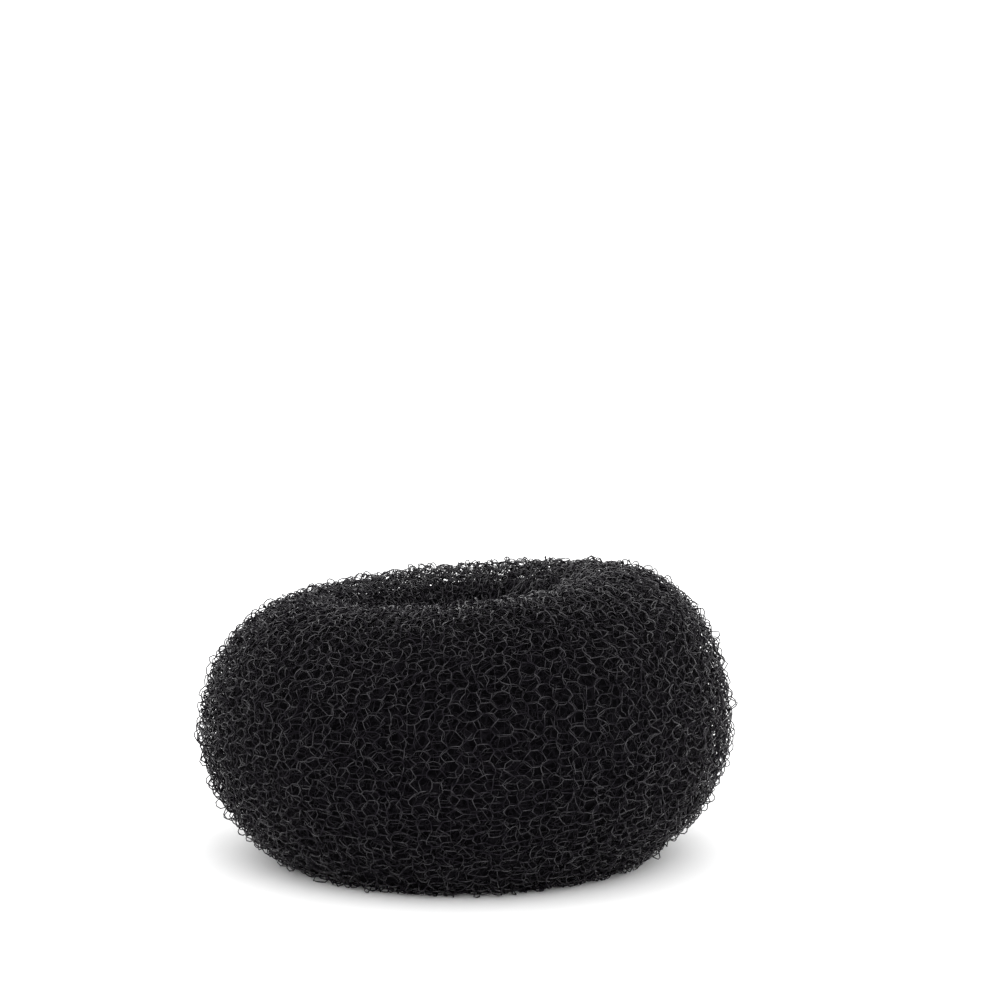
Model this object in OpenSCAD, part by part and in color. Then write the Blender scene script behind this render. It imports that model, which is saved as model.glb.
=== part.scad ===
// Hair donut of knitted nylon mesh: a long mesh tube rolled up on itself into one thick,
// springy ring, through which a ponytail is drawn to shape a bun. It lies flat on its foot.
// Millimetres, +Z up. The origin is on the floor, under the centre of the ponytail hole.

/* [Ring] */
// Diameter of the ring across its widest line
ring_d = 98; // [70:1:120]
// Height of the ring, averaged round it
ring_h = 50; // [36:1:60]
// Diameter of the ponytail hole at its narrowest
hole_d = 15; // [8:1:24]
// Height of the widest line above the floor
belly_z = 24; // [18:1:30]
// Width of the flat track on which the ring rests
foot_w = 10; // [6:1:14]

/* [Fullness of the roll] */
// Fullness above the widest line: 2 is an ellipse, more is squarer, less is leaner
top_fullness = 2; // [1.7:0.1:2.6]
// Fullness below the widest line
low_fullness = 1.8; // [1.6:0.1:2.4]

/* [Hidden] */

nylon_black = [0.10, 0.10, 0.11];

// Sections at even steps round the ring, counterclockwise from +X. The roll is higher on its
// +X side than on its -X side, and has settled on a wider foot at the front.
// Columns: shares of ring_h, belly_z, ring_d, foot_w, top_fullness and low_fullness.
HEIGHT = 0;
BELLY = 1;
ACROSS = 2;
FOOT = 3;
TOP = 4;
LOW = 5;
sections = [
    [1.055, 0.98, 1.000, 0.62, 1.04, 0.99], // +X side
    [1.035, 0.99, 0.998, 0.75, 1.01, 1.00],
    [1.000, 1.00, 1.000, 0.90, 1.00, 1.01], // back
    [0.965, 1.01, 0.997, 0.85, 1.00, 1.03],
    [0.945, 1.00, 1.000, 0.80, 1.00, 1.04], // -X side
    [0.965, 1.00, 0.999, 1.25, 1.00, 1.03],
    [1.000, 0.99, 1.000, 1.60, 1.01, 1.00], // front
    [1.035, 0.98, 0.998, 1.10, 1.02, 0.97],
];

// Facets of the ring: sections round it, and points over the roll in each of them
round_steps = 96;
roll_steps = 40;

roll_w = (ring_d - hole_d) / 2;

function wrap(i) = (i + len(sections)) % len(sections);

// Value of a column at a place round the ring, in turns, on a smooth curve through the rows.
function share(turn, column) =
    let (
        place = turn * len(sections),
        i = floor(place),
        t = place - i,
        before = sections[wrap(i - 1)][column],
        here = sections[wrap(i)][column],
        next = sections[wrap(i + 1)][column],
        after = sections[wrap(i + 2)][column]
    )
    here + 0.5 * t * (next - before
        + t * (2 * before - 5 * here + 4 * next - after
        + t * (3 * (here - next) + after - before)));

// Sine and cosine bent to a fullness.
function full_cos(angle, fullness) = sign(cos(angle)) * pow(abs(cos(angle)), 2 / fullness);
function full_sin(angle, fullness) = sign(sin(angle)) * pow(abs(sin(angle)), 2 / fullness);

// One section as [distance from the axis, height], from the outer edge of the foot up over
// the outside, the top and the hole side to the inner edge of the foot.
function roll_section(turn) =
    let (
        top_z = ring_h * share(turn, HEIGHT),
        wide_z = belly_z * share(turn, BELLY),
        half_w = roll_w / 2 - (1 - share(turn, ACROSS)) * ring_d / 4,
        centre_r = hole_d / 2 + half_w,
        top_n = top_fullness * share(turn, TOP),
        low_n = low_fullness * share(turn, LOW),
        half_foot = foot_w / 2 * share(turn, FOOT),
        foot_angle = acos(pow(half_foot / half_w, low_n / 2)),
        low_h = wide_z / full_sin(foot_angle, low_n)
    )
    [for (k = [0:roll_steps])
        let (angle = -foot_angle + k * (180 + 2 * foot_angle) / roll_steps)
        sin(angle) < 0
            ? [centre_r + half_w * full_cos(angle, low_n),
               k == 0 || k == roll_steps ? 0 : wide_z + low_h * full_sin(angle, low_n)]
            : [centre_r + half_w * full_cos(angle, top_n),
               wide_z + (top_z - wide_z) * full_sin(angle, top_n)]];

module mesh_ring() {
    row = roll_steps + 1;
    points = [for (i = [0:round_steps - 1])
        for (p = roll_section(i / round_steps))
            [p[0] * cos(i * 360 / round_steps), p[0] * sin(i * 360 / round_steps), p[1]]];
    function at(i, k) = (i % round_steps) * row + k % row;
    faces = [for (i = [0:round_steps - 1])
        for (k = [0:row - 1])
            for (half = [[at(i, k), at(i, k + 1), at(i + 1, k + 1)],
                         [at(i, k), at(i + 1, k + 1), at(i + 1, k)]])
                half];
    color(nylon_black)
        polyhedron(points = points, faces = faces, convexity = 4);
}

mesh_ring();
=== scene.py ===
# %% [markdown]
# # A hair donut knitted from nylon mesh
#
# This lesson dresses one plain solid, a soft ring for shaping a hair bun, as what it really is:
# a tube knitted from stiff black nylon thread and rolled up on itself into many springy turns.
# The solid gives the outer form and the size. Blender adds the thread itself, loop by loop, because
# the whole look comes from open stitches with more stitches showing dimly through them.
#
# Sizes are in metres, in the frame of the solid: +Z is up, and the floor is at Z = 0.

# %% Load the frame
import math

import bpy
import numpy as np
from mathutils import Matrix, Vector
from mathutils.bvhtree import BVHTree


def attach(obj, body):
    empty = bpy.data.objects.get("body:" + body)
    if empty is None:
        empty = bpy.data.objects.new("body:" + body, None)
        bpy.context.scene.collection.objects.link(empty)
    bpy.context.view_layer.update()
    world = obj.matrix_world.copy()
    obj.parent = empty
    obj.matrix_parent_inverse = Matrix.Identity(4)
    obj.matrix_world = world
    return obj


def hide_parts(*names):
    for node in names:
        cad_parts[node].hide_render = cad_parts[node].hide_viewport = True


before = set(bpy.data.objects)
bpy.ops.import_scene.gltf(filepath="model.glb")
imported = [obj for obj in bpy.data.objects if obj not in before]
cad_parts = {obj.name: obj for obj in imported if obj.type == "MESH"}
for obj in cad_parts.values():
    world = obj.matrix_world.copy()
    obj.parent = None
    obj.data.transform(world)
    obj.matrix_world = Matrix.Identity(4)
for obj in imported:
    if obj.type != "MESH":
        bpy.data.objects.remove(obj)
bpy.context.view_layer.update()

MM = 0.001
SOLID = "mesh_ring"

# %% [markdown]
# ## Where the camera stands
#
# The photograph was taken from a little above the ring with a long lens, which flattens it. The
# horizon, read off the way that the ring's underside curves, gives the height and the tilt, and the
# width of the ring in the picture gives the distance. The lens could be shifted instead of tilted,
# but tilting the camera down keeps every other view of the scene straight as well.

# %% Set up the camera
PICTURE = 1000  # pixels along each side of the photograph
SENSOR = 36.0  # width of the camera's sensor, in mm
FOCAL_PIXELS = 2800  # length of the lens, in pixels of the photograph
HORIZON_ROW = 213.5  # row of the photograph that is as high as the camera
CAMERA_DISTANCE = 509.4 * MM
CAMERA_HEIGHT = 117.2 * MM
CAMERA_ASIDE = 6.3 * MM  # to the +X side of the ring's axis

tilt = math.atan((PICTURE / 2 - HORIZON_ROW) / FOCAL_PIXELS)

camera_data = bpy.data.cameras.new("camera")
camera_data.sensor_width = SENSOR
camera_data.lens = FOCAL_PIXELS / PICTURE * SENSOR
camera_data.clip_start = 0.01
camera = bpy.data.objects.new("camera", camera_data)
camera.location = (CAMERA_ASIDE, -CAMERA_DISTANCE, CAMERA_HEIGHT)
camera.rotation_euler = (math.pi / 2 - tilt, 0, 0)
bpy.context.scene.collection.objects.link(camera)
bpy.context.scene.camera = camera
print("lens", round(camera_data.lens, 1), "mm, tilted by", round(math.degrees(tilt), 2), "degrees")

# %% [markdown]
# ## The skin of the solid
#
# A net is easiest to draw flat, with one direction round the ring and one over the roll, and to
# wrap afterwards. The wrap needs to know where each flat point lies on the solid. A shrinkwrap
# modifier would bunch the stitches up where the solid bends, so rays shot outwards from the middle of
# the roll find its skin, and the hits are respaced by length. Then the stitches keep their height
# wherever they land. A soft blur takes out the solid's facets.

# %% Measure the solid
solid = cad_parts[SOLID]
corners = np.array([v.co for v in solid.data.vertices])
radii = np.hypot(corners[:, 0], corners[:, 1])
roll_radius = (radii.max() + radii.min()) / 2
roll_height = corners[radii.argmax(), 2]
print("the roll's middle is", round(roll_radius / MM, 1), "mm out and",
      round(roll_height / MM, 1), "mm up")

# %% Shoot rays from the middle of the roll
ROUND = 240  # directions round the ring
OVER = 400  # rays round the roll in each direction

target = BVHTree.FromPolygons(
    [v.co for v in solid.data.vertices], [p.vertices for p in solid.data.polygons])
skin = np.empty((ROUND, OVER, 3))
for i, turn in enumerate(np.arange(ROUND) * 2 * math.pi / ROUND):
    out = Vector((math.cos(turn), math.sin(turn), 0))
    start = out * roll_radius + Vector((0, 0, roll_height))
    for k, lift in enumerate(np.arange(OVER) * 2 * math.pi / OVER - math.pi / 2):
        ray = out * math.cos(lift) + Vector((0, 0, math.sin(lift)))
        skin[i, k] = target.ray_cast(start, ray)[0]
print("the skin has", ROUND * OVER, "points")


# %% Space the points evenly along each loop
def even_by_length(loop):
    """The same closed loop of points, spaced evenly along its length, and the length."""
    closed = np.vstack([loop, loop[:1]])
    lengths = np.linalg.norm(np.diff(closed, axis=0), axis=1)
    along = np.concatenate([[0], np.cumsum(lengths)])
    places = np.arange(len(loop)) * along[-1] / len(loop)
    spaced = [np.interp(places, along, closed[:, axis]) for axis in range(3)]
    return np.stack(spaced, axis=1), along[-1]


evened = [even_by_length(section) for section in skin]
skin = np.array([points for points, length in evened])
girth = float(np.mean([length for points, length in evened]))
print("the roll is", round(girth / MM, 1), "mm round")


# %% Blur out the facets and find which way is out
def blur(grid, round_steps, over_steps):
    """A Gaussian blur of a grid that wraps both ways."""
    waves = np.fft.fft2(grid, axes=(0, 1))
    fall_round = np.exp(-2 * (math.pi * round_steps * np.fft.fftfreq(grid.shape[0])) ** 2)
    fall_over = np.exp(-2 * (math.pi * over_steps * np.fft.fftfreq(grid.shape[1])) ** 2)
    waves *= fall_round[:, None, None] * fall_over[None, :, None]
    return np.fft.ifft2(waves, axes=(0, 1)).real


skin = blur(skin, round_steps=1.5, over_steps=4.0)
along_round = np.roll(skin, -1, 0) - np.roll(skin, 1, 0)
along_over = np.roll(skin, -1, 1) - np.roll(skin, 1, 1)
outward = np.cross(along_round, along_over)
outward /= np.linalg.norm(outward, axis=2, keepdims=True)
room = np.linalg.norm(along_round, axis=2, keepdims=True)
room /= room.max()
print("in the hole the net is gathered to", round(float(room.min()), 2), "of its full width")


# %% Look up a flat place on the skin
def look_up(grid, turns, overs):
    """Values of a wrapping grid at places given as shares of a turn each way."""
    x = (turns % 1) * grid.shape[0]
    y = (overs % 1) * grid.shape[1]
    i = np.floor(x).astype(int)
    k = np.floor(y).astype(int)
    fx = (x - i)[..., None]
    fy = (y - k)[..., None]
    i, k = i % grid.shape[0], k % grid.shape[1]
    i1, k1 = (i + 1) % grid.shape[0], (k + 1) % grid.shape[1]
    near = grid[i, k] * (1 - fx) + grid[i1, k] * fx
    far = grid[i, k1] * (1 - fx) + grid[i1, k1] * fx
    return near * (1 - fy) + far * fy


front_top = look_up(skin, np.array(0.75), np.array(0.5))
print("halfway over the roll at the front is, in mm:", np.round(front_top / MM, 1))

# %% [markdown]
# ## One stitch, laid flat
#
# Plain knitting is one thread that snakes along a row: along a foot, up one leg, over a head and
# down the other leg. Each loop is hooked into the rows above and below it. Stiff thread bends only
# where it is hooked, so a stretched stitch has corners with nearly straight bits between them, and
# the open spaces become six-sided cells, the honeycomb that the ring shows. So the stitch is drawn
# from its corners, and the corners are then rounded, rather than from two sine waves.

# %% Place the corners of a stitch
WALES = 58  # stitches in a row round the ring
LIFT = 0.75  # half the height of a loop, in rows: over 0.5, it reaches into the next rows
BAR = 0.15  # half the length of a head or foot, in stitches
EYE = 0.013, 0.035  # how far two hooked threads stay apart, in stitches and in rows

leg = np.array([
    (0, -LIFT),
    (BAR + EYE[0], -LIFT - EYE[1]),
    (0.5 - BAR + EYE[0], LIFT - 1 - EYE[1]),
    (BAR - EYE[0], 1 - LIFT + EYE[1]),
    (0.5 - BAR - EYE[0], LIFT + EYE[1]),
    (0.5, LIFT),
])
other_leg = np.array([1, 0]) + leg[::-1] * np.array([-1, 1])
stitch_corners = np.vstack([leg, other_leg[1:]])
print("a stitch has", len(stitch_corners) - 1, "straight bits")

# %% Round the corners
STITCH_WIDE = 5.3 * MM  # on the outside of the ring
STITCH_HIGH = 2.2 * MM
CORNER = 0.22 * MM  # how softly the thread bends
PATH = 480  # points that the stitch is drawn with

bits = np.diff(stitch_corners, axis=0) * (STITCH_WIDE, STITCH_HIGH)
so_far = np.concatenate([[0], np.cumsum(np.linalg.norm(bits, axis=1))])
thread_in_stitch = so_far[-1]
path_share = np.arange(PATH) / PATH
path_across = np.interp(path_share * thread_in_stitch, so_far, stitch_corners[:, 0]) - path_share
path_up = np.interp(path_share * thread_in_stitch, so_far, stitch_corners[:, 1])
softness = np.exp(-2 * (math.pi * CORNER / thread_in_stitch * np.arange(PATH // 2 + 1)) ** 2)
path_across = np.fft.irfft(np.fft.rfft(path_across) * softness, PATH)
path_up = np.fft.irfft(np.fft.rfft(path_up) * softness, PATH)
print("the thread of a stitch is", round(thread_in_stitch / MM, 1), "mm long")


# %% [markdown]
# ## Chance in the net
#
# No two loops of a soft net hang alike. Its loops lean and swell one by one, and whole patches of
# the net slide or stretch. Blender's noise textures could shift the points, but they don't know
# where a loop begins. So the first kind comes from one random number for each loop. For the second,
# random numbers at the corners of a coarse lattice are blended in between, and the lattice joins up
# with itself both ways, so that the net shows no seam.

# %% One chance for each loop
def one_each(rng, spread, row, owner):
    """One random number for each loop, given to all the points that the loop owns."""
    return rng.normal(0, spread, (len(row), WALES))[row, owner]


print("a row of the net has", WALES, "loops, each with its own chance")


# %% Chance that drifts from patch to patch
def drift(rng, cells_round, cells_over, turns, overs):
    """Smooth chance, about -1 to 1, that wraps both ways."""
    lattice = rng.normal(0, 0.5, (cells_round, cells_over, 1))
    x = (turns % 1) * cells_round
    y = (overs % 1) * cells_over
    fx, fy = x % 1, y % 1
    # bend the shares, so that the slope is nothing at each corner of the lattice
    x = x - fx + fx * fx * (3 - 2 * fx)
    y = y - fy + fy * fy * (3 - 2 * fy)
    return look_up(lattice, x / cells_round, y / cells_over)[..., 0]


sample = drift(np.random.default_rng(1), 9, 6, np.arange(100) / 100, np.zeros(100))
print("drift over one turn runs from", round(sample.min(), 2), "to", round(sample.max(), 2))


# %% [markdown]
# ## A turn of the net
#
# The real ring is a long tube of net, rolled up like a stocking, so each turn of the roll is a net
# that closes on itself both ways. It is drawn in three steps: the points of the thread are numbered,
# they are laid flat with every loop a little unlike the next, and they are wrapped round the skin.
# Cloth simulation is the usual way to a soft form, but it moves a sheet, and this net is single
# threads with air between them. Laid by rule, they stay on the solid and can be told how to hang.

# %% Number the points of the thread
def number_points(rows, cuts):
    """The row and the stitch of each point of a turn, and how far along its stitch it is."""
    row = np.arange(rows)[:, None]
    stitch = np.broadcast_to(np.repeat(np.arange(WALES), cuts), (rows, WALES * cuts))
    t = np.tile(np.arange(cuts) / cuts, WALES)[None, :]
    return row, stitch, t


def on_head_and_foot(t):
    """How much a point belongs to the head of its loop, and how much to a foot."""
    head = (1 - np.cos(2 * math.pi * t)) / 2
    return head, 1 - head


print("two rows of 16 points a stitch have", number_points(2, 16)[1].size, "points")


# %% Lay a turn flat
UNEVEN_WIDTH = 0.24  # how much one loop's width differs from the next, as a share
UNEVEN_HEIGHT = 0.10
SLIDE_ROUND = 0.28, 0.20, 0.6  # how far loops, patches and broad stretches slide, in stitches
SLIDE_OVER = 0.30, 0.35, 1.0  # and in rows
BROAD = 9, 6  # broad stretches round the ring and over the roll


def lay_flat(rng, row, stitch, t, phase):
    """Where the points lie, in turns round the ring and over the roll, and the plain stitch's lean."""
    rows = len(row)
    between = (stitch + (t > 0.5)) % WALES
    head, foot = on_head_and_foot(t)
    across = np.interp(t, path_share, path_across, period=1)
    up = np.interp(t, path_share, path_up, period=1)
    wider = (1 + head * one_each(rng, UNEVEN_WIDTH, row, stitch)
             + foot * one_each(rng, UNEVEN_WIDTH, row, between))
    taller = (1 + head * one_each(rng, UNEVEN_HEIGHT, row, stitch)
              + foot * one_each(rng, UNEVEN_HEIGHT, row, between))
    turns = (stitch + t + across * wider) / WALES
    overs = (row + phase + up * taller) / rows

    # single loops, patches and broad stretches of the net slide on the roll
    shift_round = (SLIDE_ROUND[0] * drift(rng, WALES * 2, rows, turns, overs)
                   + SLIDE_ROUND[1] * drift(rng, WALES // 3, rows // 3, turns, overs)
                   + SLIDE_ROUND[2] * drift(rng, *BROAD, turns, overs))
    shift_over = (SLIDE_OVER[0] * drift(rng, WALES * 2, rows, turns, overs)
                  + SLIDE_OVER[1] * drift(rng, WALES // 3, rows // 4, turns, overs)
                  + SLIDE_OVER[2] * drift(rng, *BROAD, turns, overs))
    return turns + shift_round / WALES, overs + shift_over / rows, across


print("loops differ in width by", UNEVEN_WIDTH, "and in height by", UNEVEN_HEIGHT)

# %% [markdown]
# ## Threads that stand out from the net
#
# Nylon thread is springy. Between two hooks it bows out in an arc of its own, and so a net looks
# crisp from the front, and curly at the edge of the ring, where the arcs are seen from the side. In
# the hole the net is gathered to less than a fifth of its full width, so its legs stand close and
# its heads and feet are pushed out. A bump in the finish could not show this, since it keeps the
# outline as it is.

# %% Bow the threads out
THREAD = 0.078 * MM  # radius of the nylon
ARC = 0.72 * MM  # how far a bit of thread bows out between two hooks
UNLIKE = 0.42 * MM  # how unlike the arcs are
FULLNESS = 0.6  # shape of an arc: 1 is a plain wave, and less is rounder
HEAD_SHARE, HEAD_GATHERED = 0.35, 1.1  # share of an arc at a head or foot, and more where gathered
HEAD_MOST = 0.85
LEG_SHARE, LEG_SPREAD = 0.4, 0.6  # share of an arc at a leg, and more where the net is spread
SUNK = 0.35 * MM  # how far the hooks lie in
LEAN = 0.20 * MM  # how far one leg of a loop lies over the other
TWIST = 0.20  # how far loops turn to one side by chance, in radians
RUMPLE = 0.45 * MM  # how far whole cells stand out or lie in
QUIVER = 0.25 * MM  # how far short stretches of thread do


def bow_out(rng, row, stitch, t, across, turns, overs):
    """How far each point stands out from the middle of the net."""
    rows = len(row)
    wide = look_up(room, turns, overs)[..., 0]
    between = (stitch + (t > 0.5)) % WALES
    head, foot = on_head_and_foot(t)

    # each foot, leg, head and leg bows out between its hooks, and no two bow alike
    bit = np.rint(4 * t).astype(int)
    arc = np.abs(np.cos(math.pi * (4 * t - bit))) ** FULLNESS
    owner = (stitch + bit // 4) % WALES
    each_bit = np.broadcast_to(bit % 4, stitch.shape)
    bows = rng.normal(ARC, UNLIKE, (rows, WALES, 4))[row, owner, each_bit]
    heads_and_feet = np.minimum(HEAD_SHARE + HEAD_GATHERED * (1 - wide), HEAD_MOST)
    legs = LEG_SHARE + LEG_SPREAD * wide
    bows = bows * np.where(bit % 2 == 0, heads_and_feet, legs)
    proud = bows * arc - SUNK + LEAN * np.sin(2 * math.pi * t)

    # loops turn a little about their heads and feet
    from_head = (t + across - 0.5) * STITCH_WIDE * wide
    from_foot = (t + across - (t > 0.5)) * STITCH_WIDE * wide
    proud = proud + TWIST * (head * from_head * one_each(rng, 1, row, stitch)
                             + foot * from_foot * one_each(rng, 1, row, between))
    proud = proud + RUMPLE * drift(rng, WALES, rows // 2, turns, overs)
    return proud + QUIVER * drift(rng, WALES * 2, rows, turns, overs)


print("the arcs stand", round(ARC / THREAD / 2, 1), "thread widths out")


# %% Wrap a turn round the roll
def knit(seed, rows, depth, cuts, phase):
    """Points of one turn of net, as rows x points x 3, and the skin's outward direction there."""
    rng = np.random.default_rng(seed)
    row, stitch, t = number_points(rows, cuts)
    turns, overs, across = lay_flat(rng, row, stitch, t, phase)
    proud = bow_out(rng, row, stitch, t, across, turns, overs)
    place = look_up(skin, turns, overs)
    normal = look_up(outward, turns, overs)
    return place + normal * (proud - depth)[..., None], normal


def thread_length(points):
    """The length of thread in some closed rows of net."""
    return float(np.linalg.norm(np.roll(points, -1, 1) - points, axis=2).sum())


sample_turn, _ = knit(seed=1, rows=64, depth=0, cuts=16, phase=0)
print("a turn of 64 rows holds", round(thread_length(sample_turn), 1), "m of thread")

# %% [markdown]
# ## The foot of the ring
#
# The real ring is soft, so its own weight brings the lowest loops down and closes the net there,
# which is part of why the photograph's ring is darkest just above the floor. A soft-body simulation
# could find this, but it would move the whole net for the sake of its last few millimetres. Here the
# loops near the floor sink by a smooth rule, and what would reach through it is pressed flat.

# %% Rest the net on the floor
SAG = 0.9 * MM  # how far the net comes down at the floor
SAG_HEIGHT = 4.0 * MM  # height up to which the net sags
PRESSED_FLAT = 0.8 * MM  # height up to which threads are pressed together
REST = 1.7 * THREAD  # height of the middle of a thread that lies on the floor


def rest_on_floor(points):
    """Moves the points so that the lowest net sags, and nothing reaches through the floor."""
    z = points[..., 2]
    hangs = z < SAG_HEIGHT
    z[hangs] -= SAG * (1 - np.maximum(z[hangs], 0) / SAG_HEIGHT) ** 2
    low = z < PRESSED_FLAT
    room_left = PRESSED_FLAT - REST
    z[low] = REST + room_left * np.exp((z[low] - PRESSED_FLAT) / room_left)


print("threads lie on the floor with their middle", round(REST / MM, 2), "mm up")

# %% [markdown]
# ## Threads with a thickness
#
# A curve with a round bevel would make the thread too, but a net of some hundred thousand bends is
# slow that way, and its triangles are hard to count. Here arrays of points become one joined mesh
# for a whole turn: a small polygon stands at each point, square to the thread, and neighbours are
# joined. Three sides are enough for a thread as thin as a bristle once the shading is smooth. Each
# tube also gets its own strip of a flat layout, in case the finish is to be baked.

# %% Build a mesh of tubes from closed paths
TINY = 1e-12  # keeps a length of nothing from being divided by
STRIP_EDGE = 0.05  # empty edge of each tube's strip, as a share of its width


def tube_sides(points, normal, sides, radius):
    """Corners of the polygons that stand square to the thread, as rows x points x sides x 3."""
    ahead = np.roll(points, -1, 1) - np.roll(points, 1, 1)
    ahead /= np.linalg.norm(ahead, axis=2, keepdims=True) + TINY
    side = np.cross(ahead, normal)
    side /= np.linalg.norm(side, axis=2, keepdims=True) + TINY
    up = np.cross(side, ahead)
    # a tube with few corners is drawn a little thicker, to look as wide as a round one
    fat = radius * math.sqrt(2 * math.pi / (sides * math.sin(2 * math.pi / sides)))
    angles = (np.arange(sides) + 0.5) * 2 * math.pi / sides
    return (points[:, :, None]
            + fat * (np.cos(angles)[None, None, :, None] * side[:, :, None]
                     + np.sin(angles)[None, None, :, None] * up[:, :, None]))


def thread_mesh(name, points, normal, sides, radius):
    """One joined mesh of closed tubes, one tube for each row of points."""
    rows, count = points.shape[:2]
    verts = tube_sides(points, normal, sides, radius).reshape(-1, 3)
    r, c, s = np.meshgrid(np.arange(rows), np.arange(count), np.arange(sides), indexing="ij")
    s1 = (s + 1) % sides
    here = (r * count + c) * sides
    next_on = (r * count + (c + 1) % count) * sides
    quads = np.stack([here + s, here + s1, next_on + s1, next_on + s], axis=-1).reshape(-1, 4)

    mesh = bpy.data.meshes.new(name)
    mesh.vertices.add(len(verts))
    mesh.vertices.foreach_set("co", verts.astype(np.float32).ravel())
    mesh.loops.add(quads.size)
    mesh.loops.foreach_set("vertex_index", quads.astype(np.int32).ravel())
    mesh.polygons.add(len(quads))
    mesh.polygons.foreach_set("loop_start", np.arange(0, quads.size, 4, dtype=np.int32))
    mesh.polygons.foreach_set("use_smooth", np.ones(len(quads), dtype=bool))
    mesh.update(calc_edges=True)

    u0, u1 = c / count, (c + 1) / count
    strip = 1 - 2 * STRIP_EDGE
    v0 = (r + STRIP_EDGE + strip * s / sides) / rows
    v1 = (r + STRIP_EDGE + strip * (s + 1) / sides) / rows
    uvs = np.stack([u0, v0, u0, v1, u1, v1, u1, v0], axis=-1).reshape(-1)
    mesh.uv_layers.new(name="OFBake").data.foreach_set("uv", uvs.astype(np.float32))
    mesh.validate()
    piece = bpy.data.objects.new(name, mesh)
    bpy.context.scene.collection.objects.link(piece)
    return piece


print("the thread is", round(2 * THREAD / MM, 2), "mm thick")

# %% [markdown]
# ## The outer turns of the roll
#
# Through the open stitches of the outer turn the second one shows, and through both the third and
# the fourth. Deeper than that no stitch can be told from another. Copies of one turn would line up
# and make a pattern of their own, so each turn is knitted with its own chance and its own number of
# rows. The triangles go where the eye goes: the outer turn has 16 points to a stitch, and the
# fourth half as many. No mesh has more than 195,000 triangles, so the larger turns come in two parts.

# %% Knit the outer turns
TURNS = [
    # name, depth in mm, rows, points in a stitch, phase
    ("net_outer", 0.35, 64, 16, 0.0),
    ("net_second", 1.15, 61, 12, 0.35),
    ("net_third", 2.0, 58, 10, 0.6),
    ("net_fourth", 2.8, 55, 8, 0.1),
]
SIDES = 3  # sides of the thread
MOST_TRIANGLES = 195000
FIRST_SEED = 40

pieces = []
total_triangles = 0
total_thread = 0
for number, (name, depth, rows, cuts, phase) in enumerate(TURNS):
    points, normal = knit(FIRST_SEED + number, rows, depth * MM, cuts, phase)
    rest_on_floor(points)
    total_thread += thread_length(points)
    parts = math.ceil(2 * SIDES * cuts * WALES * rows / MOST_TRIANGLES)
    for part, chosen in enumerate(np.array_split(np.arange(rows), parts)):
        label = name if parts == 1 else f"{name}_{part + 1}"
        piece = thread_mesh(label, points[chosen], normal[chosen], SIDES, THREAD)
        pieces.append(piece)
        total_triangles += 2 * len(piece.data.polygons)
        print(label, "has", 2 * len(piece.data.polygons), "triangles")
print("together", total_triangles, "triangles and", round(total_thread, 1), "m of thread")

# %% [markdown]
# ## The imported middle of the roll
#
# Inside the fourth turn the real roll goes on, turn upon turn, pressed so close that it shows only
# as darkness with faint crossing threads. To knit it all would cost millions of triangles that
# nobody sees. One closed, slightly lumpy solid stands for it, drawn from the same skin a little
# further in, and its finish shows the threads. At the foot the ring's weight presses all the turns
# together, so there the solid comes nearly down to the floor.

# %% Make the middle of the roll
MIDDLE_DEPTH = 3.6 * MM  # of the middle under the skin
FOOT_DEPTH = 0.9 * MM  # and where the ring rests on the floor
MIDDLE_ROUND = 120  # points of the middle round the ring
MIDDLE_OVER = 60  # and round the roll
MIDDLE_SEED = 7
LUMPS = 0.4 * MM  # how far lumps stand out or lie in
LUMP_CELLS = 40, 20  # lumps round the ring and over the roll
PRESSED_HEIGHT = 8.0 * MM  # height up to which the ring's weight presses the turns together

turn_grid, over_grid = np.meshgrid(
    np.arange(MIDDLE_ROUND) / MIDDLE_ROUND, np.arange(MIDDLE_OVER) / MIDDLE_OVER, indexing="ij")
lumps = LUMPS * drift(np.random.default_rng(MIDDLE_SEED), *LUMP_CELLS, turn_grid, over_grid)
middle_skin = look_up(skin, turn_grid, over_grid)
loose = np.clip(middle_skin[..., 2] / PRESSED_HEIGHT, 0, 1)
proud = lumps * loose - FOOT_DEPTH - (MIDDLE_DEPTH - FOOT_DEPTH) * loose
middle_points = middle_skin + look_up(outward, turn_grid, over_grid) * proud[..., None]

faces = []
for i in range(MIDDLE_ROUND):
    this_ring = i * MIDDLE_OVER
    next_ring = (i + 1) % MIDDLE_ROUND * MIDDLE_OVER
    for k in range(MIDDLE_OVER):
        k1 = (k + 1) % MIDDLE_OVER
        faces.append((this_ring + k, next_ring + k, next_ring + k1, this_ring + k1))

middle_mesh = bpy.data.meshes.new("rolled_middle")
middle_mesh.from_pydata([tuple(v) for v in middle_points.reshape(-1, 3)], [], faces)
middle_mesh.polygons.foreach_set("use_smooth", np.ones(len(faces), dtype=bool))
middle = bpy.data.objects.new("rolled_middle", middle_mesh)
bpy.context.scene.collection.objects.link(middle)
print("rolled_middle has", 2 * len(faces), "triangles")


# %% [markdown]
# ## Effects that the finishes share
#
# Drawn nylon is smooth and black, so nearly all that is seen of it is gloss, and what tells one
# thread from the next is how the gloss varies: the thread is scuffed in one place and clean in
# another, its dye is a little uneven, and lint clings to it. These effects come up in more than one
# finish, so each is a node group, built once from noise that is measured in the object's own space.
# Image textures could do it too, but they would need a flat picture of all the metres of thread.

# %% Help with node trees
def node(tree, kind, settings=(), **values):
    """A new node, with some settings and some inputs, which are named with _ for a space."""
    made = tree.nodes.new(kind)
    for name, value in dict(settings).items():
        setattr(made, name, value)
    for name, value in values.items():
        made.inputs[name.replace("_", " ")].default_value = value
    return made


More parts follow.
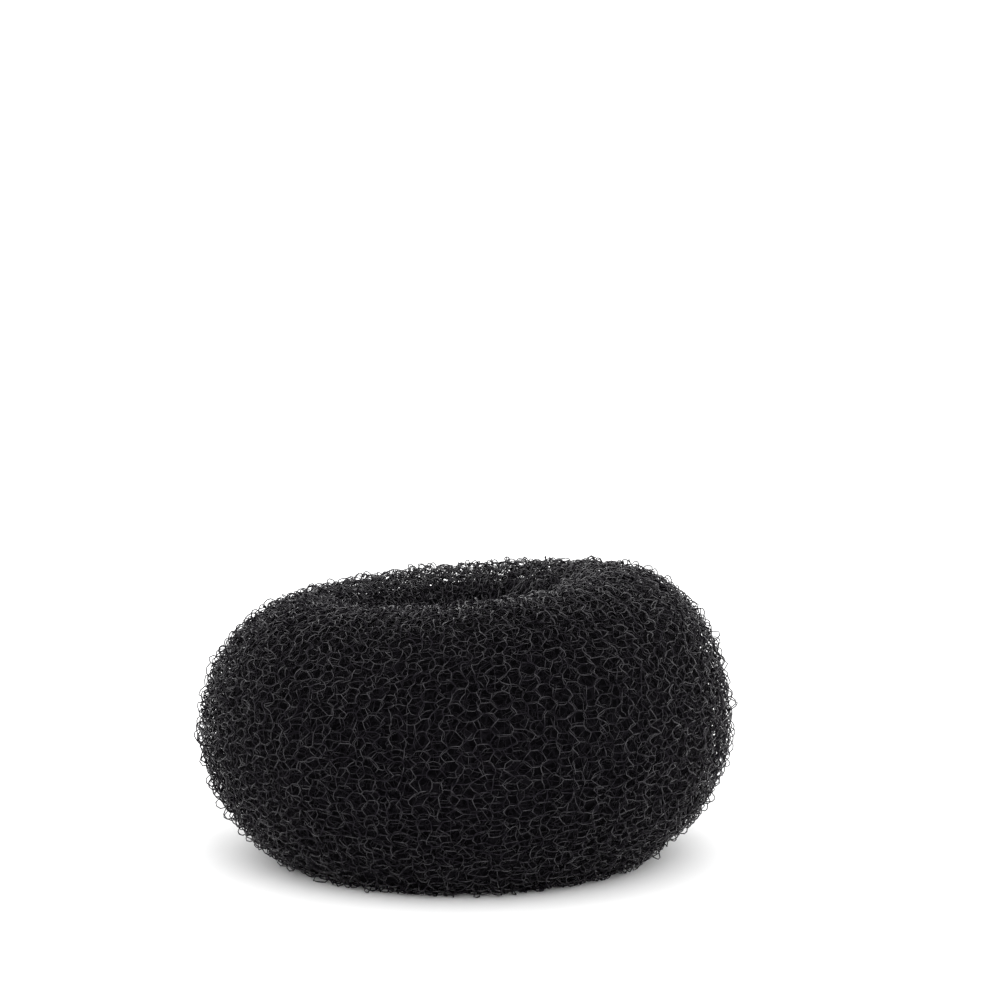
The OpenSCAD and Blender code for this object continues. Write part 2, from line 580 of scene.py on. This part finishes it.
def new_group(name, inputs, outputs):
    """An empty node group with its sockets, and the nodes that hold its inputs and outputs."""
    tree = bpy.data.node_groups.new(name, "ShaderNodeTree")
    for label, kind, value in inputs:
        tree.interface.new_socket(label, in_out="INPUT", socket_type=kind).default_value = value
    for label, kind in outputs:
        tree.interface.new_socket(label, in_out="OUTPUT", socket_type=kind)
    return tree, tree.nodes.new("NodeGroupInput"), tree.nodes.new("NodeGroupOutput")


def placed(tree, group, **values):
    """A node group, placed in a material with its own values."""
    return node(tree, "ShaderNodeGroup", {"node_tree": group}, **values)


FLOAT = "NodeSocketFloat"
COLOUR = "NodeSocketColor"
SMOOTH = {"interpolation_type": "SMOOTHSTEP"}
print("sockets are of two kinds:", FLOAT, "and", COLOUR)

# %% Group: patches of a second tone
tone_group, given, result = new_group(
    "patchy tone",
    [("Tone", COLOUR, (0, 0, 0, 1)), ("Other Tone", COLOUR, (1, 1, 1, 1)),
     ("Patches per Metre", FLOAT, 300)],
    [("Color", COLOUR)])
space = node(tone_group, "ShaderNodeTexCoord")
patches = node(tone_group, "ShaderNodeTexNoise", Detail=3.0, Roughness=0.6)
patch_mask = node(tone_group, "ShaderNodeMapRange", SMOOTH, From_Min=0.35, From_Max=0.65)
two_tones = node(tone_group, "ShaderNodeMix", {"data_type": "RGBA"})
link = tone_group.links.new
link(space.outputs["Object"], patches.inputs["Vector"])
link(given.outputs["Patches per Metre"], patches.inputs["Scale"])
link(patches.outputs["Fac"], patch_mask.inputs["Value"])
link(patch_mask.outputs["Result"], two_tones.inputs["Factor"])
link(given.outputs["Tone"], two_tones.inputs["A"])
link(given.outputs["Other Tone"], two_tones.inputs["B"])
link(two_tones.outputs["Result"], result.inputs["Color"])
print("made the group", tone_group.name)

# %% Group: scuffs that dull the gloss, and the fine ridges of a drawn thread
scuff_group, given, result = new_group(
    "scuffs and ridges",
    [("Clean", FLOAT, 0.25), ("Scuffed", FLOAT, 0.5), ("Scuffs per Metre", FLOAT, 900),
     ("Ridges per Metre", FLOAT, 12000)],
    [("Roughness", FLOAT), ("Shine", FLOAT), ("Height", FLOAT)])
space = node(scuff_group, "ShaderNodeTexCoord")
scuffs = node(scuff_group, "ShaderNodeTexNoise", Detail=2.0)
dulled = node(scuff_group, "ShaderNodeMapRange", SMOOTH, From_Min=0.38, From_Max=0.62)
shine = node(scuff_group, "ShaderNodeMapRange", SMOOTH, From_Min=0.60, From_Max=0.42)
ridges = node(scuff_group, "ShaderNodeTexNoise", Detail=1.0)
link = scuff_group.links.new
link(space.outputs["Object"], scuffs.inputs["Vector"])
link(space.outputs["Object"], ridges.inputs["Vector"])
link(given.outputs["Scuffs per Metre"], scuffs.inputs["Scale"])
link(given.outputs["Ridges per Metre"], ridges.inputs["Scale"])
link(scuffs.outputs["Fac"], dulled.inputs["Value"])
link(given.outputs["Clean"], dulled.inputs["To Min"])
link(given.outputs["Scuffed"], dulled.inputs["To Max"])
link(scuffs.outputs["Fac"], shine.inputs["Value"])
link(dulled.outputs["Result"], result.inputs["Roughness"])
link(shine.outputs["Result"], result.inputs["Shine"])
link(ridges.outputs["Fac"], result.inputs["Height"])
print("made the group", scuff_group.name)

# %% Group: lint
SPECK_EDGE = 0.06  # how softly a speck of lint ends

lint_group, given, result = new_group(
    "lint",
    [("Color", COLOUR, (0, 0, 0, 1)), ("Lint", COLOUR, (0.05, 0.05, 0.05, 1)),
     ("Specks per Metre", FLOAT, 2500), ("Bare Share", FLOAT, 0.7)],
    [("Color", COLOUR)])
space = node(lint_group, "ShaderNodeTexCoord")
specks = node(lint_group, "ShaderNodeTexNoise", Detail=4.0, Roughness=0.7)
speck_end = node(lint_group, "ShaderNodeMath", {"operation": "ADD"})
speck_end.inputs[1].default_value = SPECK_EDGE
speck_mask = node(lint_group, "ShaderNodeMapRange", SMOOTH)
specked = node(lint_group, "ShaderNodeMix", {"data_type": "RGBA"})
link = lint_group.links.new
link(space.outputs["Object"], specks.inputs["Vector"])
link(given.outputs["Specks per Metre"], specks.inputs["Scale"])
link(given.outputs["Bare Share"], speck_end.inputs[0])
link(given.outputs["Bare Share"], speck_mask.inputs["From Min"])
link(speck_end.outputs["Value"], speck_mask.inputs["From Max"])
link(specks.outputs["Fac"], speck_mask.inputs["Value"])
link(speck_mask.outputs["Result"], specked.inputs["Factor"])
link(given.outputs["Color"], specked.inputs["A"])
link(given.outputs["Lint"], specked.inputs["B"])
link(specked.outputs["Result"], result.inputs["Color"])
print("made the group", lint_group.name)


# %% [markdown]
# ## The finish of the nylon
#
# Every turn is the same thread: black dye with a trace of violet in its shine, and lint clinging to
# it.
# The turns further in get less gloss, less coat and a darker tone: that is painted shade, for the
# light that the outer turns keep from them. One material for all would be simpler, but the eye then
# loses the depth of the roll. So one function makes them all alike, and each turn gets its own gloss,
# coat and tone. The coat is the polish, and it is worn off in patches.

# %% Make a finish for thread
def nylon(name, gloss, coat, tone, other_tone):
    """Black nylon: gloss is its own shine, and coat that of the polish on top; deeper turns get less
    of both as painted shade.
    """
    material = bpy.data.materials.new(name)
    material.use_nodes = True
    tree = material.node_tree
    shader = tree.nodes["Principled BSDF"]
    shader.inputs["IOR"].default_value = 1.53
    shader.inputs["Specular IOR Level"].default_value = gloss
    shader.inputs["Specular Tint"].default_value = (0.93, 0.82, 1.0, 1)
    shader.inputs["Coat Roughness"].default_value = 0.2

    dye = placed(tree, tone_group, Tone=tone, Other_Tone=other_tone, Patches_per_Metre=330)
    dusty = placed(tree, lint_group, Lint=(0.030, 0.028, 0.030, 1), Specks_per_Metre=2600,
                   Bare_Share=0.68)
    surface = placed(tree, scuff_group, Clean=0.24, Scuffed=0.46, Scuffs_per_Metre=520,
                     Ridges_per_Metre=14000)
    polish = node(tree, "ShaderNodeMath", {"operation": "MULTIPLY"})
    polish.inputs[1].default_value = coat
    bump = node(tree, "ShaderNodeBump", Strength=0.35, Distance=0.02 * MM)
    link = tree.links.new
    link(dye.outputs["Color"], dusty.inputs["Color"])
    link(dusty.outputs["Color"], shader.inputs["Base Color"])
    link(surface.outputs["Roughness"], shader.inputs["Roughness"])
    link(surface.outputs["Shine"], polish.inputs[0])
    link(polish.outputs["Value"], shader.inputs["Coat Weight"])
    link(surface.outputs["Height"], bump.inputs["Height"])
    link(bump.outputs["Normal"], shader.inputs["Normal"])
    return material


# %% Give each turn its nylon
NYLON_AND_DEPTH_SHADE = {
    # gloss, coat, and two tones of dye, all lower on deeper turns as painted shade
    "net_outer": (0.145, 0.62, (0.0019, 0.0017, 0.0024, 1), (0.0044, 0.0039, 0.0052, 1)),
    "net_second": (0.120, 0.42, (0.0018, 0.0016, 0.0023, 1), (0.0037, 0.0033, 0.0044, 1)),
    "net_third": (0.100, 0.20, (0.0017, 0.0015, 0.0021, 1), (0.0034, 0.0030, 0.0040, 1)),
    "net_fourth": (0.070, 0.09, (0.0015, 0.0013, 0.0019, 1), (0.0030, 0.0026, 0.0036, 1)),
}
for turn_name, look in NYLON_AND_DEPTH_SHADE.items():
    material = nylon("nylon of " + turn_name, *look)
    for piece in pieces:
        if piece.name.startswith(turn_name):
            piece.data.materials.append(material)
            print(piece.name, "has the", material.name)

# %% [markdown]
# ## The finish of the imported middle
#
# What is seen between the outer threads is a dark tangle. The walls between the cells of a Voronoi
# texture cross each other as packed threads do, so they give the tangle its colour and its bump, a
# little paler than the gaps. Its gaps take the same two-tone patches as the thread, and it is as
# dull as felt, with the same scuffs. Its colours are painted light and shade for the turns deep in
# the roll: the walls draw their threads with a painted faint shine, and the gaps, darker than any
# turn's dye, are painted shade between them. Plain black would be cheaper, but the cells would then
# look empty.

# %% Make the finish of the imported middle
middle_material = bpy.data.materials.new("packed middle")
middle_material.use_nodes = True
middle_tree = middle_material.node_tree
shader = middle_tree.nodes["Principled BSDF"]
shader.inputs["Specular IOR Level"].default_value = 0.05

space = node(middle_tree, "ShaderNodeTexCoord")
cells = node(middle_tree, "ShaderNodeTexVoronoi", {"feature": "DISTANCE_TO_EDGE"}, Scale=520)
walls = node(middle_tree, "ShaderNodeMapRange", SMOOTH,
             From_Min=0.02, From_Max=0.16, To_Min=1.0, To_Max=0.0)
# the gaps' tones, darker than any turn's dye, are painted shade deep in the roll
shaded_gaps = placed(middle_tree, tone_group, Tone=(0.0010, 0.0008, 0.0013, 1),
              Other_Tone=(0.0022, 0.0019, 0.0026, 1), Patches_per_Metre=420)
# the walls' paler colour is a painted faint shine of the deeper threads
tangle = node(middle_tree, "ShaderNodeMix", {"data_type": "RGBA"}, B=(0.0064, 0.0057, 0.0073, 1))
dull = placed(middle_tree, scuff_group, Clean=0.82, Scuffed=0.98, Scuffs_per_Metre=520)
bump = node(middle_tree, "ShaderNodeBump", Strength=0.6, Distance=0.3 * MM)
link = middle_tree.links.new
link(space.outputs["Object"], cells.inputs["Vector"])
link(cells.outputs["Distance"], walls.inputs["Value"])
link(walls.outputs["Result"], tangle.inputs["Factor"])
link(shaded_gaps.outputs["Color"], tangle.inputs["A"])
link(tangle.outputs["Result"], shader.inputs["Base Color"])
link(dull.outputs["Roughness"], shader.inputs["Roughness"])
link(walls.outputs["Result"], bump.inputs["Height"])
link(bump.outputs["Normal"], shader.inputs["Normal"])
middle_mesh.materials.append(middle_material)
print("rolled_middle has the", middle_material.name)

# %% [markdown]
# ## Floor
#
# The ring stands on plain white paper, lit so well that it turns fully white, with only a narrow
# soft shadow under the belly of the roll. A large flat disc does it, since the surround behind it
# is as white and hides where it ends. The paper is a shade uneven, as paper is.

# %% Lay the floor
FLOOR_RADIUS = 1.5
FLOOR_CORNERS = 96

around = np.arange(FLOOR_CORNERS) * 2 * math.pi / FLOOR_CORNERS
floor_rim = [(FLOOR_RADIUS * math.cos(a), FLOOR_RADIUS * math.sin(a), 0) for a in around]
floor_mesh = bpy.data.meshes.new("floor")
floor_mesh.from_pydata(floor_rim, [], [tuple(range(FLOOR_CORNERS))])
floor = bpy.data.objects.new("floor", floor_mesh)
bpy.context.scene.collection.objects.link(floor)

paper = bpy.data.materials.new("white paper")
paper.use_nodes = True
shader = paper.node_tree.nodes["Principled BSDF"]
shade = placed(paper.node_tree, tone_group, Tone=(0.935, 0.935, 0.935, 1),
               Other_Tone=(0.945, 0.945, 0.945, 1), Patches_per_Metre=60)
matt = placed(paper.node_tree, scuff_group, Clean=0.85, Scuffed=0.95, Scuffs_per_Metre=80)
paper.node_tree.links.new(shade.outputs["Color"], shader.inputs["Base Color"])
paper.node_tree.links.new(matt.outputs["Roughness"], shader.inputs["Roughness"])
floor_mesh.materials.append(paper)
print("the floor is", 2 * FLOOR_RADIUS, "m across")


# %% [markdown]
# ## Light
#
# A black glossy thread shows by what it mirrors. The photograph shows it evenly from all sides, with
# hardly any shadow, as in a white tent, so a pale surround gives most of the light here. It is
# dimmest low in front of the ring and brighter above, beside and behind it, where it draws a light
# edge along the outer loops. Four weak softboxes only add a trace of direction. With strong lamps
# instead, the near side of the ring came out dull, its flanks too bright and the shadow beside it
# too dark. The camera sees the surround as plain white, like the background of the photograph.

# %% Hang the softboxes
def softbox(name, place, aim, width, watts):
    """A square lamp at a place, turned to face another."""
    data = bpy.data.lights.new(name, "AREA")
    data.size = width
    data.energy = watts
    lamp = bpy.data.objects.new(name, data)
    lamp.location = place
    lamp.rotation_euler = (Vector(aim) - Vector(place)).to_track_quat("-Z", "Y").to_euler()
    bpy.context.scene.collection.objects.link(lamp)
    print(name, "has", watts, "W")


RING_MIDDLE = (0, 0, 0.02)
softbox("front softbox", (0.25, -0.80, 0.85), RING_MIDDLE, 0.6, 2.0)
softbox("low softbox", (0.2, -1.0, 0.30), RING_MIDDLE, 0.6, 3.0)
softbox("left softbox", (-1.1, 0.15, 0.50), RING_MIDDLE, 0.9, 0.8)
softbox("right softbox", (1.1, 0.15, 0.50), RING_MIDDLE, 0.9, 0.8)

# %% Put the surround up
DIM, BRIGHT = 0.95, 1.75  # of the surround, low in front of the ring and beside or behind it
SEEN = 1.75  # brightness that the camera sees
BRIGHTER_WAY = (0, 1, 0.6)  # backwards and up

world = bpy.data.worlds.new("studio")
world.use_nodes = True
background = world.node_tree.nodes["Background"]
background.inputs["Color"].default_value = (1, 1, 1, 1)
direction = node(world.node_tree, "ShaderNodeTexCoord")
backwards = node(world.node_tree, "ShaderNodeVectorMath", {"operation": "DOT_PRODUCT"})
backwards.inputs[1].default_value = BRIGHTER_WAY
brightness = node(world.node_tree, "ShaderNodeMapRange",
                  From_Min=-1.0, From_Max=0.0, To_Min=DIM, To_Max=BRIGHT)
ray_kind = node(world.node_tree, "ShaderNodeLightPath")
pick = node(world.node_tree, "ShaderNodeMix", B=SEEN)
link = world.node_tree.links.new
link(direction.outputs["Generated"], backwards.inputs[0])
link(backwards.outputs["Value"], brightness.inputs["Value"])
link(ray_kind.outputs["Is Camera Ray"], pick.inputs["Factor"])
link(brightness.outputs["Result"], pick.inputs["A"])
link(pick.outputs["Result"], background.inputs["Strength"])
bpy.context.scene.world = world
bpy.context.scene.view_settings.view_transform = "Standard"
print("the surround goes from", DIM, "low in front to", BRIGHT, "above, beside and behind")

# %% [markdown]
# ## Tying the pieces to the frame
#
# Every piece moves with the ring's one body and takes the place of its solid, which stays behind
# for the physics.

# %% Tie the pieces
for piece in pieces + [middle]:
    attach(piece, "root")
    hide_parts(SOLID)
print(len(pieces) + 1, "pieces stand for", SOLID)
